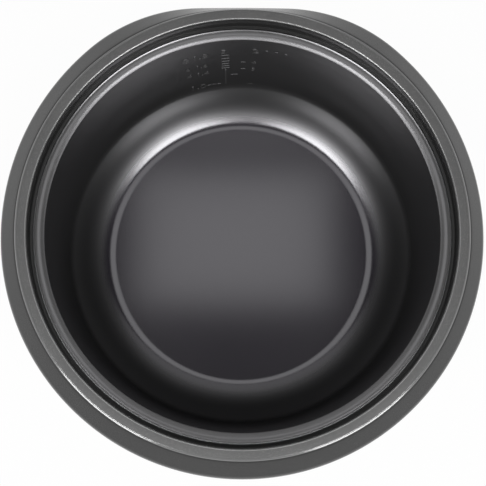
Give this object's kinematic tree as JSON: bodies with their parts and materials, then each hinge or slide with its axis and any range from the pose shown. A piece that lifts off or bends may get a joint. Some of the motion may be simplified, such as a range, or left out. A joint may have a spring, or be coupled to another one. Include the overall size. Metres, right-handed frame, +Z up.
{
  "type": "rice cooker",
  "caption": "Table-top rice cooker with its lid off: round metallic-grey body with a flat back, dark lift-out pot, magnetic thermostat, front cook lever and rear power inlet.",
  "frame": {"origin": "on the table, under the pot's axis, at the bottom centre of the object's box", "axes": "+Z up along the pot's axis, -Y towards the front panel, +Y towards the flat back and the power inlet"},
  "size_m": [0.291, 0.295, 0.1907],
  "materials": {
    "nonstick": "semi-gloss dark non-stick coating on aluminium",
    "satin_ring": "satin charcoal metallic paint",
    "satin_shell": "satin charcoal metallic paint",
    "liner_steel": "bright drawn steel",
    "base_plastic": "fine-grained black plastic",
    "foot_rubber": "matt rubber",
    "screw_steel": "zinc-plated",
    "plate_cast": "turned cast aluminium",
    "element_sheath": "heat-tinted sheath",
    "contact_brass": "plain brass",
    "spacer_steel": "plain steel",
    "spring_steel": "spring wire",
    "ferrite_black": "sintered",
    "magnet_grey": "sintered",
    "lever_steel": "zinc-plated pressed steel",
    "key_plastic": "satin moulded key",
    "switch_plastic": "moulded phenolic",
    "button_red": "moulded",
    "heater_band": "glass-cloth heater band",
    "fuse_sleeve": "glass-fibre sleeve",
    "panel_gloss": "gloss black panel",
    "lens_red": "translucent red",
    "lens_amber": "translucent amber",
    "holder_plastic": "moulded",
    "lamp_glass": "neon lamp glass",
    "wire_brown": "silicone insulation",
    "wire_blue": "silicone insulation",
    "wire_green": "silicone insulation",
    "wire_red": "silicone insulation",
    "wire_white": "silicone insulation"
  },
  "bodies": {
    "base": {"top_ring": "satin_ring", "outer_shell": "satin_shell", "inner_liner": "liner_steel", "base_pan": "base_plastic", "feet": "foot_rubber", "base_screws": "screw_steel", "ring_screws": "screw_steel", "heating_plate": "plate_cast", "heating_element": "element_sheath", "element_pins": "contact_brass", "plate_spacers": "spacer_steel", "plate_screws": "screw_steel", "thermostat_frame": "liner_steel", "frame_rivets": "screw_steel", "sensor_spring": "spring_steel", "release_spring": "spring_steel", "lever_pin": "screw_steel", "lever_bracket": "lever_steel", "bracket_screws": "screw_steel", "switch_body": "switch_plastic", "switch_tabs": "contact_brass", "switch_screws": "screw_steel", "warm_thermostat": "switch_plastic", "warm_heater": "heater_band", "heater_straps": "liner_steel", "thermal_fuse": "fuse_sleeve", "fuse_clip": "lever_steel", "front_panel": "panel_gloss", "cook_lens": "lens_red", "warm_lens": "lens_amber", "lamp_holder": "holder_plastic", "cook_lamp": "lamp_glass", "warm_lamp": "lamp_glass", "inlet_socket": "switch_plastic", "inlet_pins": "contact_brass", "inlet_screws": "screw_steel", "terminal_block": "holder_plastic", "terminal_screws": "contact_brass", "earth_screw": "contact_brass", "live_wire": "wire_brown", "neutral_wire": "wire_blue", "earth_wire": "wire_green", "switch_wire": "wire_brown", "fuse_wire": "wire_red", "heater_wire": "wire_red", "lamp_wire": "wire_white", "warm_wire": "wire_white"},
    "pot": {"pot": "nonstick"},
    "sensor": {"sensor_cap": "plate_cast", "ferrite": "ferrite_black"},
    "plunger": {"plunger": "contact_brass", "magnet": "magnet_grey"},
    "lever": {"lever_arm": "lever_steel", "cook_key": "key_plastic"},
    "button": {"switch_button": "button_red"}
  },
  "joints": [
    {"name": "pot_lift", "type": "slide", "parent": "base", "child": "pot", "axis": [0, 0, 1], "range_m": [0, 0.135]},
    {"name": "sensor_rise", "type": "slide", "parent": "base", "child": "sensor", "axis": [0, 0, 1], "range_m": [0, 0.0026], "stiffness_N_per_m": 300, "springref_m": 0.004, "deforming": ["sensor_spring"]},
    {"name": "cook_lever", "type": "hinge", "parent": "base", "child": "lever", "pos_m": [0, -0.062, 0.026], "axis": [1, 0, 0], "range_deg": [0, 5.55], "stiffness_Nm_per_rad": 0.3, "springref_deg": -11.46},
    {"name": "plunger_rise", "type": "slide", "parent": "base", "child": "plunger", "axis": [0, 0, 1], "range_m": [0, 0.0061], "deforming": ["release_spring"]},
    {"name": "button_press", "type": "slide", "parent": "base", "child": "button", "axis": [0, 0, 1], "range_m": [0, 0.0027]}
  ],
  "couplings": [
    {"joint": "sensor_rise", "follows": "pot_lift", "ratio": 0.018519},
    {"joint": "plunger_rise", "follows": "cook_lever", "m_per_rad": 0.062},
    {"joint": "button_press", "follows": "cook_lever", "m_per_rad": 0.0268}
  ]
}
